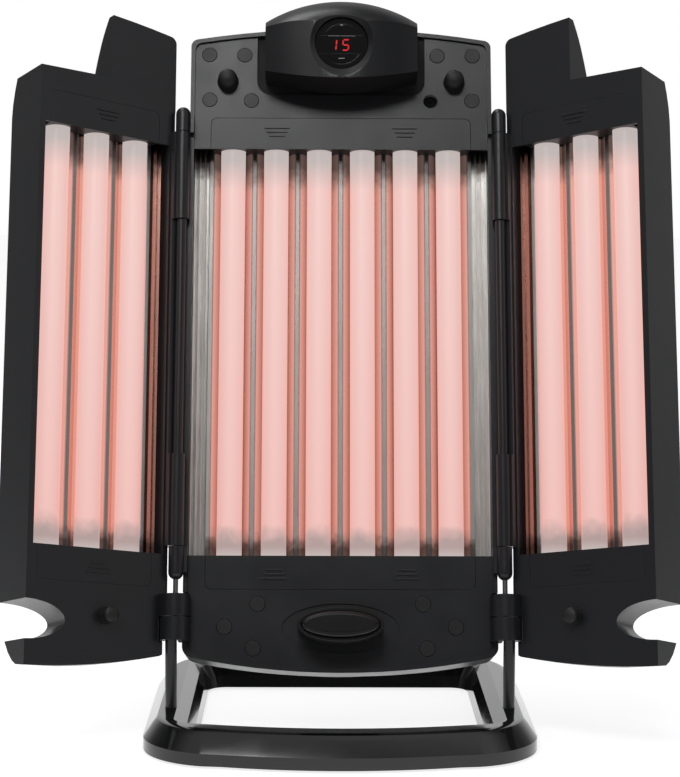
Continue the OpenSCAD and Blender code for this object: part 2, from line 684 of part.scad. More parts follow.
// Plan of a lamp cover over x0 to x1, from the window's edge up, widened by a seam gap
module cover_outline(x0, x1, gap) {
    r = cover_r + gap;
    translate([x0 - gap, gap > 0 ? -1 : 0])
        square([x1 - x0 + 2 * gap, cover_h - cover_r + (gap > 0 ? 1 : 0)]);
    translate([x0 + cover_r, 0]) square([x1 - x0 - 2 * cover_r, cover_h + gap]);
    for (x = [x0 + cover_r, x1 - cover_r]) translate([x, cover_h - cover_r]) circle(r = r);
}

// A lamp cover over x0 to x1: plate, lip with a bay for each tube, and grip ribs; up is 1 above a window
module lamp_cover(xs, x0, x1, y, up, grips) mirror([0, 0, up > 0 ? 0 : 1]) difference() {
    union() {
        slab(y, y + cover_t) cover_outline(x0, x1, 0);
        slab(y, hook_y) translate([x0 + 1, 0]) square([x1 - x0 - 2, wall]);
        for (g = grips, k = [0:2]) slab(y - rib_h, y + eps) translate([g - 8.2 + k * 1.6, 14 - k * 2.8])
            square([16.4 - k * 3.2, 1]);
    }
    for (x = xs) translate([x, lamp_y, -1]) linear_extrude(wall + 2) union() {
        circle(d = lamp_d + 1.6);
        translate([-lamp_d / 2 - 0.8, 0]) square([lamp_d + 1.6, far]);
    }
}

module center_top_cover() color(black) on_panel() translate([0, 0, window_top])
    lamp_cover(center_xs, -cover_x, cover_x, plate_y, 1, [-41.5, 41.5]);
module center_bottom_cover() color(black) on_panel() translate([0, 0, window_sill])
    lamp_cover(center_xs, -cover_x, cover_x, plate_y, -1, [-41.5, 41.5]);

module rubber_pegs() color("#2a2a2b") on_panel() for (s = [-1, 1])
    translate([s * peg_at[0], plate_y, window_top + peg_at[1]]) rotate([90, 0, 0])
    rotate_extrude() polygon(concat(
        [[0, 0], [peg_d / 2, 0], [peg_d / 2 - 0.8, peg_h - 4]],
        [for (t = [10:20:90]) [(peg_d / 2 - 0.8) * cos(t), peg_h - 4 + 4 * sin(t)]]));

// Control head

// Turns what is drawn square to the panel down with the head's front, about the middle of the face
module face_turn() translate([0, face_y, face_z]) rotate([face_tilt, 0, 0])
    translate([0, -face_y, -face_z]) children();

module on_face() on_panel() face_turn() children();

// Front of the head on its centre line, without the roll of its upper edge
function head_front(z) = front_y - head_proud - (z - face_z) * tan(face_tilt);

module head_outline(i) intersection() {
    translate([i - head_w / 2, head_low - 20]) square([head_w - 2 * i, head_h + 40]);
    translate([0, head_top - head_top_r]) circle(r = head_top_r - i);
    translate([0, head_low + head_low_r]) circle(r = head_low_r - i);
}

module head_shape(i, y = head_front(head_top - roll_w)) intersection() {
    slab(-far / 4, plate_y + pocket_depth - seat + i) head_outline(i);
    translate([0, 0, head_top - head_top_r]) rotate([-90, 0, 0]) rotate_extrude() polygon(concat(
        [[0, far / 4], [0, -far / 4], [head_top_r - roll_w - i, -far / 4]],
        [for (k = [0:0.1:1]) [head_top_r - roll_w * (1 - k) - i, y + i + head_roll * k * k]],
        [[head_top_r + 1, y + i + head_roll], [head_top_r + 1, far / 4]]));
    face_turn() translate([0, 0, head_low - 40]) linear_extrude(head_h + 80) polygon(concat(
        [[far / 4, far / 4], [-far / 4, far / 4], [-far / 4, i - 12]],
        [for (k = [-1:0.0625:1]) [k * head_w / 2, front_y - head_proud + i + 9 * pow(abs(k), 2.4)]],
        [[far / 4, i - 12]]));
}

module control_head() color("#1d1e21") on_panel() difference() {
    union() {
        difference() {
            head_shape(0);
            head_shape(wall);
        }
        intersection() {
            face_turn() {
                rod_y(0, face_z, face_y - dish_depth - 3, face_y + ring_t, dish_d + 6);
                for (s = [-1, 1]) rod_y(s * 36, face_z - 4, front_y - head_proud, board_y - seat, 7);
            }
            head_shape(0);
        }
    }
    face_turn() {
        translate([0, face_y - dish_depth + dish_slope, face_z]) rotate([90, 0, 0])
            cylinder(d1 = face_d + 2 * fit, d2 = dish_d, h = dish_slope + eps);
        rod_y(0, face_z, face_y - far / 9, face_y - dish_depth + eps, dish_d);
        rod_y(0, face_z, face_y - 9, face_y + 9, face_d + 2 * fit);
        rod_y(0, face_z, face_y + ring_t, board_y - 1, face_d + 2 * face_flange + 1.2);
    }
}

// The round face, cut into an upper key, a display window and a lower key
module face_piece(z0, z1, y0, y1, d) slab(y0, y1) translate([0, face_z]) intersection() {
    circle(d = d);
    translate([-face_d, z0]) square([2 * face_d, z1 - z0]);
}

module key(up) color("#0c0c0d") on_face() difference() {
    z0 = up > 0 ? lens_high + key_gap : -face_d;
    z1 = up > 0 ? face_d : lens_low - key_gap;
    union() {
        face_piece(z0, z1, face_y - 0.5, face_y + key_t, face_d);
        face_piece(z0, z1, face_y + ring_t + key_gap, face_y + key_t, face_d + 2 * face_flange);
        rod_y(0, face_z + up * key_stem, face_y + key_t - eps, board_y - switch_h - 0.1, 4);
    }
    difference() {
        rod_y(0, face_z, face_y - 1, face_y - 0.2, face_groove);
        rod_y(0, face_z, face_y - 2, face_y, face_groove - 1);
    }
}

module up_key() key(1);
module down_key() key(-1);

module display_lens() color("#08080a") on_face() union() {
    face_piece(lens_low, lens_high, face_y - 0.4, face_y + key_t, face_d);
    face_piece(lens_low, lens_high, face_y + ring_t + seat, face_y + key_t, face_d + 2 * face_flange);
    for (s = [-1, 1]) slab(face_y + key_t - eps, board_y - seat)
        translate([s * 13 - 1.2, face_z - lens_drop - 4.5]) square([2.4, 9]);
}

module led_display() color("#5a1013") on_face() slab(face_y + key_t + 0.3, board_y - seat)
    translate([-display_w / 2, face_z - lens_drop - display_h / 2]) square([display_w, display_h]);

// The board with the two key switches, whose plungers give way under the keys
module timer_board() color("#1c5a38") on_face() union() {
    intersection() {
        slab(board_y, board_y + board_t) head_outline(wall + fit + board_room);
        slab(board_y, board_y + board_t)
            translate([-far, head_low + board_low]) square([2 * far, head_h - board_short]);
    }
    for (s = [-1, 1]) slab(board_y - switch_h + key_travel, board_y + eps)
        translate([-3, face_z + s * key_stem - 3]) square(6);
}

// Release button

module latch_collar() color(dark) on_panel() difference() {
    mouth = front_y - latch_proud;
    slab(mouth, plate_y + 1 - seat) latch_oval(0);
    slab(mouth - 1, mouth + lip_t + 1) latch_oval(sleeve_wall);
    slab(mouth + lip_t, front_y - 2) latch_oval(sleeve_wall - flange - 0.1);
    rod_y(0, latch_z, mouth, plate_y - 1, 8);
}

module latch_oval(i) translate([0, latch_z]) oval(latch_a - i, latch_b - i);

module latch_button() color("#141416") on_panel() union() {
    i = sleeve_wall + button_gap;
    front = front_y - latch_proud - button_proud;
    hull() for (k = [0:0.25:1]) slab(front + 3 * (1 - cos(k * 90)), front + button_proud + 1)
        latch_oval(i + 3 * (1 - sin(k * 90)));
    slab(front + button_proud, front + button_proud + button_l) latch_oval(i);
    slab(front + button_proud + lip_t + button_gap, front + button_proud + button_l) latch_oval(i - flange);
}

module latch_spring() color(steel) on_panel() {
    y0 = front_y - latch_proud + 11 + seat;
    y1 = plate_y - 1 - seat;
    turns = 6;
    steps = 12;
    r = spring_r;
    w = 0.5;
    rings = [for (k = [0:turns * steps]) [for (q = [0:5])
        let (t = k * 360 / steps, a = q * 60, rr = r + w * cos(a))
        [rr * cos(t), y0 + w + (y1 - y0 - 2 * w) * k / (turns * steps) + w * sin(a), latch_z + rr * sin(t)]]];
    n = turns * steps;
    polyhedron([for (ring = rings, p = ring) p], concat(
        [[0, 1, 2, 3, 4, 5]], [[for (q = [5:-1:0]) n * 6 + q]],
        [for (k = [0:n - 1], q = [0:5]) each [[k * 6 + q, (k + 1) * 6 + q, k * 6 + (q + 1) % 6],
            [(k + 1) * 6 + q, (k + 1) * 6 + (q + 1) % 6, k * 6 + (q + 1) % 6]]]));
}

// Pins

module hinge_pins() color(steel) on_panel() for (s = [-1, 1]) translate([s * hinge_x, 0, pin_low])
    cylinder(d = hinge_pin_d, h = barrel_high - pin_low);

module tilt_pins() color(steel) on_panel()
    for (s = [-1, 1]) translate([s * (hinge_x - block_d / 2 + 2), 0, 0])
    rotate([0, s * 90, 0]) cylinder(d = tilt_pin_d, h = block_d - 3);

// Wings

function root_share() = wing_root_depth / wing_depth;

// The domed rear form of a wing, thin at its hinge and deep at its outer edge, set forward by i
module wing_bulge(i) translate([0, -i, 0]) hull() for (k = [0, 1]) translate([k ? wing_w + 1 : 0, 0, 0])
    along_x(0, eps) polygon([for (p = shell_profile(wing_depth, 5, 5))
        [front_y + (p[1] < -bottom_drop || p[0] == front_y ? 0 : (p[0] - front_y) * (k ? 1 : root_share())),
        p[1]]]);

// Room in a wing for the centre panel's upper and lower knuckles, with their domed ends
module hinge_relief() {
    r = barrel_d / 2 + 1.2;
    translate([0, 0, barrel_low]) sphere(r = r);
    translate([0, 0, barrel_low]) cylinder(r = r, h = knuckle_l + knuckle_gap);
    translate([0, 0, barrel_high]) sphere(r = r);
    translate([0, 0, barrel_high - knuckle_top_l - knuckle_gap])
        cylinder(r = r, h = knuckle_top_l + knuckle_gap);
}

// Room in a wing for the centre panel's half of the lower hinge block and for the post below it
module lower_relief() {
    translate([0, 0, block_low - 1]) cylinder(r = block_d / 2 + 1, h = block_h + 1 + knuckle_gap);
    translate([-far, -far, block_low - far - 1 + eps]) cube([far + wing_low_edge, 2 * far, far]);
}

module wing_frame(side) color(black) on_wing(side) difference() {
    union() {
        difference() {
            intersection() {
                slab(front_y, front_y + wing_side) wing_outline(0);
                wing_bulge(0);
            }
            difference() {
                intersection() {
                    slab(front_y + plate_t, far) wing_outline(wall);
                    wing_bulge(wall);
                }
                low_notch(wall);
            }
            low_notch(0);
            slab(-far, far)
                translate([wing_window[0], window_sill]) square([wing_window[1] - wing_window[0], window_h]);
            cover_pockets(cover_wing[0], cover_wing[1], front_y, seat);
            hinge_relief();
            lower_relief();
        }
        wing_leaf(barrel_low + knuckle_l + knuckle_gap, leaf_l);
        wing_leaf(barrel_high - knuckle_top_l - knuckle_gap - leaf_l, leaf_l);
        translate([0, 0, barrel_low + knuckle_l + knuckle_gap]) {
            l = barrel_high - barrel_low - knuckle_l - knuckle_top_l - 2 * knuckle_gap;
            cylinder(d = rod_d, h = l);
            translate([0, rod_d / 4, 0]) cube([wing_edge + 3, front_y + wing_side - 1 - rod_d / 4, l]);
        }
        translate([0, 0, block_split + knuckle_gap]) cylinder(d = block_d, h = block_h - knuckle_gap);
        translate([0, 0, block_split + knuckle_gap])
            cube([block_d / 2, front_y + wing_side - fit, block_h - knuckle_gap]);
        for (p = wing_screws_at) rod_y(p[0], p[1], front_y + plate_t - eps, front_y + wing_side, 8);
    }
    pin_bore(0, run_clear);
    for (p = wing_screws_at) rod_y(p[0], p[1], front_y + plate_t, far, screw_d - 0.4);
}

// A wing's knuckle and the web that joins it to the frame
module wing_leaf(z, l) translate([0, 0, z]) union() {
    cylinder(d = barrel_d, h = l);
    translate([0, 0, 0]) cube([wing_edge + 3, front_y + wing_side - 1, l]);
}

module wing_rear_cover(side) color(black) on_wing(side) difference() {
    union() {
        difference() {
            intersection() {
                slab(front_y + wing_side, far / 4) wing_outline(0);
                wing_bulge(0);
            }
            difference() {
                intersection() {
                    slab(0, far / 4) wing_outline(wall);
                    wing_bulge(wall);
                }
                low_notch(wall);
            }
            low_notch(0);
        }
        intersection() {
            for (p = wing_screws_at) rod_y(p[0], p[1], front_y + wing_side, far / 4, 10);
            wing_bulge(0);
        }
    }
    hinge_relief();
    lower_relief();
    for (p = wing_screws_at) {
        rod_y(p[0], p[1], 0, far, screw_d + 0.4);
        rod_y(p[0], p[1], front_y + wing_side + 3, far, screw_head + 1);
    }
    for (k = [0:7]) translate([36, front_y + wing_side + 6, window_top - 76 + k * 8]) cube([44, far, 3]);
}

module wing_reflector(side) color(metal) on_wing(side)
    reflector(wing_xs, wing_edge + wall + fit, wing_w - wall - fit, lamp_pitch / 2 - hinge_flute);
module wing_lamp(side, i) on_wing(side) lamp(wing_xs[i - 1]);
module wing_lamp_caps(side) on_wing(side) caps(wing_xs);
module wing_lamp_holders(side) on_wing(side) holders(wing_xs);
module wing_top_cover(side) color(black) on_wing(side) translate([0, 0, window_top])
    lamp_cover(wing_xs, cover_wing[0], cover_wing[1], front_y, 1, [52]);
module wing_bottom_cover(side) color(black) on_wing(side) translate([0, 0, window_sill])
    lamp_cover(wing_xs, cover_wing[0], cover_wing[1], front_y, -1, [52]);
module wing_bumper(side) color("#2a2a2b") on_wing(side)
    translate([bumper_at[0], front_y, bumper_at[1]]) rotate([90, 0, 0])
    rotate_extrude() polygon(concat([[0, 0], [bumper_d / 2, 0], [bumper_d / 2 - 0.6, peg_h - 3]],
        [for (t = [10:20:90]) [(bumper_d / 2 - 0.6) * cos(t), peg_h - 3 + 2.4 * sin(t)]]));
module wing_screws(side) color(steel) on_wing(side)
    for (p = wing_screws_at) case_screw(p[0], p[1], wing_side);

base_ring();
base_cover();
base_feet();
base_screws();
post_left();
post_right();
center_frame();
center_rear_cover();
center_reflector();
center_lamp(1);  // center_lamp_1
center_lamp(2);  // center_lamp_2
center_lamp(3);  // center_lamp_3
center_lamp(4);  // center_lamp_4
center_lamp(5);  // center_lamp_5
center_lamp(6);  // center_lamp_6
center_lamp_caps();
center_lamp_holders();
center_top_cover();
center_bottom_cover();
ballasts();
mains_inlet();
center_screws();
screw_plugs();
front_screw();
rubber_pegs();
control_head();
up_key();
down_key();
display_lens();
led_display();
timer_board();
latch_collar();
latch_button();
latch_spring();
hinge_pins();
tilt_pins();
wing_frame(-1);  // left_frame
wing_rear_cover(-1);  // left_rear_cover
wing_reflector(-1);  // left_reflector
wing_lamp(-1, 1);  // left_lamp_1
wing_lamp(-1, 2);  // left_lamp_2
wing_lamp(-1, 3);  // left_lamp_3
wing_lamp_caps(-1);  // left_lamp_caps
wing_lamp_holders(-1);  // left_lamp_holders
wing_top_cover(-1);  // left_top_cover
wing_bottom_cover(-1);  // left_bottom_cover
wing_bumper(-1);  // left_bumper
wing_screws(-1);  // left_screws
wing_frame(1);  // right_frame
wing_rear_cover(1);  // right_rear_cover
wing_reflector(1);  // right_reflector
wing_lamp(1, 1);  // right_lamp_1
wing_lamp(1, 2);  // right_lamp_2
wing_lamp(1, 3);  // right_lamp_3
wing_lamp_caps(1);  // right_lamp_caps
wing_lamp_holders(1);  // right_lamp_holders
wing_top_cover(1);  // right_top_cover
wing_bottom_cover(1);  // right_bottom_cover
wing_bumper(1);  // right_bumper
wing_screws(1);  // right_screws
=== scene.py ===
import bmesh
import bpy
import json
import math
from mathutils import Matrix, Vector


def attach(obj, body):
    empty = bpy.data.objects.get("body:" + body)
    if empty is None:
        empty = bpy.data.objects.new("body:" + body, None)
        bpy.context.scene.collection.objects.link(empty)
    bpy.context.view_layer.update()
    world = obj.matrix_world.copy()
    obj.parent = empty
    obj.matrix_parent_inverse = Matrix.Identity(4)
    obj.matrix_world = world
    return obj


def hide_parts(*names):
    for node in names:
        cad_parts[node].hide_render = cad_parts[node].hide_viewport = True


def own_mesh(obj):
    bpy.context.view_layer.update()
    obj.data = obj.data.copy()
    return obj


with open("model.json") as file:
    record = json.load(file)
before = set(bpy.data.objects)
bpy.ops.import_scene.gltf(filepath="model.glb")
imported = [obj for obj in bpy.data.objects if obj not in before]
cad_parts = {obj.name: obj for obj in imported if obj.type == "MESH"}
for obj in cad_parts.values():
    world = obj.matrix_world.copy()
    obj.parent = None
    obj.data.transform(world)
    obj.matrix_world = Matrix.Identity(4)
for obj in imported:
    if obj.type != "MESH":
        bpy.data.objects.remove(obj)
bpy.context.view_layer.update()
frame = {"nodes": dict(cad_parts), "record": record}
nodes = frame["nodes"]
record = frame["record"]
joints = {joint["name"]: joint for joint in record["behaviour"]["joints"]}
body_of = {node: body for body, names in record["behaviour"]["bodies"].items() for node in names}
slot_of = {part["node"]: part["material_slot"] for part in record["subparts"]}

# The panel's axes: X to the right, BACK square to its front and UP along its hinges,
# in millimetres from the tilt axis
MM = 0.001
X = Vector((1, 0, 0))
PIVOT = Vector(joints["tilt"]["pos_m"])
UP = Vector(joints["left_wing_hinge"]["axis"])
BACK = UP.cross(X)
HINGE_X = joints["right_wing_hinge"]["pos_m"][0] / MM
WING_OPEN = math.radians(180 - joints["right_wing_hinge"]["range_deg"][1])

# Heights of the lamp window, depths of the reflector's ridges and of the front plates,
# where the centre's side strips start, and where the strip beside a wing's hinge ends
WINDOW_LOW, WINDOW_TOP = 46.5, 312.1
RIDGE = 17.9
PLATE = 6.4
STRIP_X = 84.8
SILL = 13.0


def at(x, y, z):
    """A point in the panel's axes, in the row frame in metres."""
    return PIVOT + (X * x + BACK * y + UP * z) * MM


# The round face of the control head, turned down a little from the panel
FACE = at(0, -22.4, 373.5)
FACE_BACK = Vector(joints["up_key_press"]["axis"])
FACE_UP = X.cross(FACE_BACK)


def on_face(x, z, out):
    """A point in front of the round face: x and z from its middle, in millimetres."""
    return FACE + (X * x + FACE_UP * z - FACE_BACK * out) * MM


# Materials

# Sockets of a Mix node that mixes colours: its two inputs and its output
MIX_A, MIX_B, MIXED = 6, 7, 2
# How far the painted shade darkens the reflectors beside the lamp holders
END_SHADE = 0.75


def linear(text):
    """An sRGB hex colour as linear RGBA."""
    parts = [int(text[i:i + 2], 16) / 255 for i in (1, 3, 5)]
    return tuple(p / 12.92 if p <= 0.04045 else ((p + 0.055) / 1.055) ** 2.4 for p in parts) + (1.0,)


def per(size):
    """Scale of a pattern whose features are this many millimetres apart."""
    return 1 / (size * MM)


class Finish:
    """The node tree of a material or of the world, with its shader."""

    def __init__(self, tree, shader):
        self.tree = tree
        self.shader = tree.nodes[shader]

    def add(self, kind, inputs, output=0, stops=(), **settings):
        """One node with its settings and links: the socket that it gives."""
        node = self.tree.nodes.new("ShaderNode" + kind)
        for key, value in settings.items():
            setattr(node, key, value)
        for key, value in inputs.items():
            if isinstance(value, bpy.types.NodeSocket):
                self.tree.links.new(value, node.inputs[key])
            else:
                node.inputs[key].default_value = value
        for k, (place, colour) in enumerate(stops):
            element = node.color_ramp.elements[k] if k < 2 else node.color_ramp.elements.new(place)
            element.position = place
            element.color = linear(colour) if isinstance(colour, str) else (colour, colour, colour, 1)
        return node.outputs[output]

    def put(self, socket, key):
        """Link a socket to one of the shader's own."""
        self.tree.links.new(socket, self.shader.inputs[key])

    def measure(self, origin, direction):
        """Distance from a point along a direction of the part, in millimetres."""
        place = self.add("VectorMath", {0: self.where, 1: origin}, operation="SUBTRACT")
        return self.add("VectorMath", {0: place, 1: direction / MM}, "Value", operation="DOT_PRODUCT")


def finish(name, **sockets):
    """A new material with a Principled shader, whose even values go straight on the shader's own sockets."""
    mat = bpy.data.materials.new(name)
    mat.use_nodes = True
    look = Finish(mat.node_tree, "Principled BSDF")
    look.mat = mat
    look.where = look.add("TexCoord", {}, "Object")
    for key, value in sockets.items():
        look.shader.inputs[key.replace("_", " ")].default_value = value
    return look


def moulded_abs(name, light, dark, rough, patchy=0.04, grain=0.4, relief=0.2, **sockets):
    """ABS from a spark-eroded mould: a fine grain, and a soft sheen in patches where the wall
    cooled unevenly. Nylon, board resin, enamel and ink have the same softness, with a flatter grain."""
    look = finish(name, **sockets)
    flow = look.add("TexNoise", {"Vector": look.where, "Scale": per(110), "Detail": 4})
    look.put(look.add("ValToRGB", {"Fac": flow}, stops=[(0.3, dark), (0.7, light)]), "Base Color")
    sheen = look.add("TexNoise", {"Vector": look.where, "Scale": per(22), "Detail": 3})
    look.put(look.add("MapRange", {"Value": sheen, "From Min": 0.3, "From Max": 0.7, "To Min": rough - patchy,
        "To Max": rough + patchy}), "Roughness")
    erosion = look.add("TexNoise", {"Vector": look.where, "Scale": per(grain), "Detail": 2})
    look.put(look.add("Bump", {"Height": erosion, "Strength": relief, "Distance": 0.2 * MM}), "Normal")
    return look.mat


def polished_abs(name, colour, rough, wave):
    """ABS from a polished mould: black and glossy, with the slight waviness of a thick wall that
    sank as it cooled."""
    look = finish(name, Base_Color=linear(colour), Coat_Weight=0.4, Coat_Roughness=0.03)
    haze = look.add("TexNoise", {"Vector": look.where, "Scale": per(17), "Detail": 3})
    look.put(look.add("MapRange", {"Value": haze, "From Min": 0.2, "From Max": 0.8, "To Min": rough,
        "To Max": rough + 0.05}), "Roughness")
    sink = look.add("TexNoise", {"Vector": look.where, "Scale": per(wave), "Detail": 1})
    look.put(look.add("Bump", {"Height": sink, "Strength": 0.05, "Distance": 2 * MM}), "Normal")
    return look.mat


def drawn_lines(look):
    """Lines that drawing or rolling leaves along a metal, far coarser than the real ones so that
    they show."""
    along = look.add("VectorMath", {0: look.where, 1: (1.0, 0.08, 0.08)}, operation="MULTIPLY")
    return look.add("TexNoise", {"Vector": along, "Scale": per(3.3), "Detail": 3})


def drawn_metal(name, light, dark, rough):
    """Drawn or rolled metal: bright, with fine lines that spread its highlights."""
    look = finish(name, Metallic=1.0)
    lines = drawn_lines(look)
    look.put(look.add("ValToRGB", {"Fac": lines}, stops=[(0.0, light), (1.0, dark)]), "Base Color")
    look.put(look.add("MapRange", {"Value": lines, "From Min": 0.2, "From Max": 0.8, "To Min": rough - 0.03,
        "To Max": rough + 0.05}), "Roughness")
    return look.mat


def moulded_rubber(name, light, dark):
    """Moulded rubber: black and dull, with a faint bloom and a matt, slightly pitted skin."""
    look = finish(name, Roughness=0.55)
    bloom = look.add("TexNoise", {"Vector": look.where, "Scale": per(33), "Detail": 4})
    look.put(look.add("ValToRGB", {"Fac": bloom}, stops=[(0.2, light), (0.8, dark)]), "Base Color")
    pits = look.add("TexNoise", {"Vector": look.where, "Scale": per(1.1), "Detail": 2})
    look.put(look.add("Bump", {"Height": pits, "Strength": 0.3, "Distance": 0.2 * MM}), "Normal")
    return look.mat


def bright_aluminium(name, side):
    """Bright rolled aluminium sheet of the centre panel (0) or of a wing (-1, 1): silver ridges and
    side strips. Painted on it: the tubes' pink reflection on the flanks, darker deep behind the
    tubes as painted shade, and dimmer on a wing's strip beside its hinge; painted highlights on the
    centre's side strips and on a wing's first ridge; and painted shade, ragged, at the ends beside the
    lamp holders."""
    look = finish(name, Metallic=1.0)
    lines = drawn_lines(look)
    silver = look.add("ValToRGB", {"Fac": lines}, stops=[(0.0, "#B4B1AE"), (1.0, "#9A9794")])
    hinge = at(side * HINGE_X, 0, 0)
    back = X * side * math.sin(WING_OPEN) + BACK * math.cos(WING_OPEN) if side else BACK
    deep = look.measure(hinge, back)
    crest = 0.2 if side else 0.5
    # Mask of the flanks, which are painted with the tubes' pink reflection
    painted_reflection = look.add("MapRange", {"Value": deep, "From Min": RIDGE + crest, "From Max": RIDGE + crest + 0.6})
    # Painted shade: the painted reflection turns darker deep behind the tubes, most on the centre panel
    share = look.add("MapRange", {"Value": deep, "From Min": RIDGE + 1, "From Max": RIDGE + 7.2})
    valley = "#F0C8BA" if side else "#B68E82"
    flank = look.add("ValToRGB", {"Fac": share}, stops=[(0.0, "#F5D3C8"), (1.0, valley)])

    # Painted shade at the ends beside the lamp holders, its edge made ragged by noise
    mottle = look.add("TexNoise", {"Vector": look.where, "Scale": per(6), "Detail": 2})
    stray = look.add("MapRange", {"Value": mottle, "From Min": 0.3, "From Max": 0.7, "To Min": -3.0,
        "To Max": 3.0})
    z = look.add("Math", {0: look.measure(PIVOT, UP), 1: stray}, operation="ADD")
    foot = look.add("MapRange", {"Value": z, "From Min": WINDOW_LOW + 15, "From Max": WINDOW_LOW + 6,
        "To Max": END_SHADE})
    head = look.add("MapRange", {"Value": z, "From Min": WINDOW_TOP - 24, "From Max": WINDOW_TOP - 9,
        "To Max": END_SHADE})
    ends = look.add("Math", {0: foot, 1: head}, operation="MAXIMUM")
    if side:
        out = X * side * math.cos(WING_OPEN) - BACK * math.sin(WING_OPEN)
        across = look.measure(hinge, out)
        # Painted reflection: a wing's strip beside its hinge gets a dimmer painted reflection of the tubes
        sill = look.add("MapRange", {"Value": across, "From Min": SILL + 0.6, "From Max": SILL})
        painted_reflection = look.add("Math", {0: painted_reflection, 1: sill}, operation="MAXIMUM")
        flank = look.add("Mix", {"Factor": sill, MIX_A: flank, MIX_B: linear("#B48C80")}, MIXED,
            data_type="RGBA")
        # Painted highlight: a wing's first ridge is painted near white
        first = look.add("MapRange", {"Value": across, "From Min": SILL + 7, "From Max": SILL + 6})
        silver = look.add("Mix", {"Factor": first, MIX_A: silver, MIX_B: linear("#F2F1EE")}, MIXED,
            data_type="RGBA")
    else:
        x = look.add("Math", {0: look.add("SeparateXYZ", {0: look.where}, "X")}, operation="ABSOLUTE")
        strip = look.add("MapRange", {"Value": x, "From Min": STRIP_X * MM, "From Max": (STRIP_X + 1) * MM})
        # Painted highlight: the centre's side strips are painted a paler silver
        pale = look.add("ValToRGB", {"Fac": lines}, stops=[(0.0, "#EEEDEA"), (1.0, "#C4C3C0")])
        silver = look.add("Mix", {"Factor": strip, MIX_A: silver, MIX_B: pale}, MIXED, data_type="RGBA")
        inner = look.add("Math", {0: 1.0, 1: strip}, operation="SUBTRACT")
        painted_reflection = look.add("Math", {0: painted_reflection, 1: inner}, operation="MULTIPLY")
        # Painted shade at the top of the centre's side strips
        shade = look.add("MapRange", {"Value": z, "From Min": WINDOW_TOP - 17, "From Max": WINDOW_TOP - 9,
            "To Max": END_SHADE})
        ends = look.add("Mix", {"Factor": strip, "A": ends, "B": shade}, data_type="FLOAT")
    sheet = look.add("Mix", {"Factor": painted_reflection, MIX_A: silver, MIX_B: flank}, MIXED, data_type="RGBA")
    # The painted shade at the ends, a dark brown over the sheet
    sheet = look.add("Mix", {"Factor": ends, MIX_A: sheet, MIX_B: linear("#2A1D19")}, MIXED, data_type="RGBA")
    look.put(sheet, "Base Color")
    rough = look.add("MapRange", {"Value": lines, "From Min": 0.2, "From Max": 0.8, "To Min": 0.38,
        "To Max": 0.46})
    gloss = look.add("Math", {0: painted_reflection, 1: 0.15}, operation="MULTIPLY")
    if not side:
        sheen = look.add("Math", {0: strip, 1: 0.08}, operation="MULTIPLY")
        gloss = look.add("Math", {0: gloss, 1: sheen}, operation="ADD")
    look.put(look.add("Math", {0: rough, 1: gloss}, operation="SUBTRACT"), "Roughness")
    return look.mat


def phosphor_glass(name):
    """Phosphor-coated glass tube, lit: evenly pink, deeper where the coating is seen edge on, with
    greyer ends."""
    look = finish(name, Base_Color=linear("#2A2221"), Roughness=0.25, Specular_IOR_Level=0.2,
        Emission_Strength=0.97)
    z = look.measure(PIVOT, UP)
    rise = look.add("MapRange", {"Value": z, "From Min": WINDOW_LOW, "From Max": WINDOW_TOP - 60})
    core = look.add("ValToRGB", {"Fac": rise}, stops=[(0.0, "#F4C3BD"), (1.0, "#F7D0CB")])
    facing = look.add("LayerWeight", {"Blend": 0.5}, "Facing")
    coat = look.add("ValToRGB", {"Fac": facing}, stops=[(0.0, "#FFFFFF"), (0.17, "#F9F6F5"),
        (0.69, "#F3E4DF"), (0.96, "#D8A897")])
    lit = look.add("Mix", {"Factor": 1.0, MIX_A: core, MIX_B: coat}, MIXED, data_type="RGBA",
        blend_type="MULTIPLY")
    smoke = look.add("TexNoise", {"Vector": look.where, "Scale": per(9), "Detail": 3})
    stray = look.add("MapRange", {"Value": smoke, "From Min": 0.3, "From Max": 0.7, "To Min": -2.5,
        "To Max": 2.5})
    ragged = look.add("Math", {0: z, 1: stray}, operation="ADD")
    for height, start, end, colour in ((z, WINDOW_TOP - 27, WINDOW_TOP - 7, "#C2B8B5"),
            (ragged, WINDOW_LOW + 20, WINDOW_LOW + 9, "#B59F9C"),
            (z, WINDOW_LOW + 6, WINDOW_LOW + 1, "#C4B7B4")):
        share = look.add("MapRange", {"Value": height, "From Min": start, "From Max": end})
        lit = look.add("Mix", {"Factor": share, MIX_A: lit, MIX_B: linear(colour)}, MIXED, data_type="RGBA")
    look.put(lit, "Emission Color")
    return look.mat


def lit_segment(name, light, dark, strength):
    """Red epoxy over lit chips: bright and even, a little stronger over each chip."""
    look = finish(name, Base_Color=linear("#300504"), Roughness=0.3, Emission_Strength=strength)
    chips = look.add("TexNoise", {"Vector": look.where, "Scale": per(2.5), "Detail": 2})
    look.put(look.add("ValToRGB", {"Fac": chips}, stops=[(0.3, dark), (0.7, light)]), "Emission Color")
    return look.mat


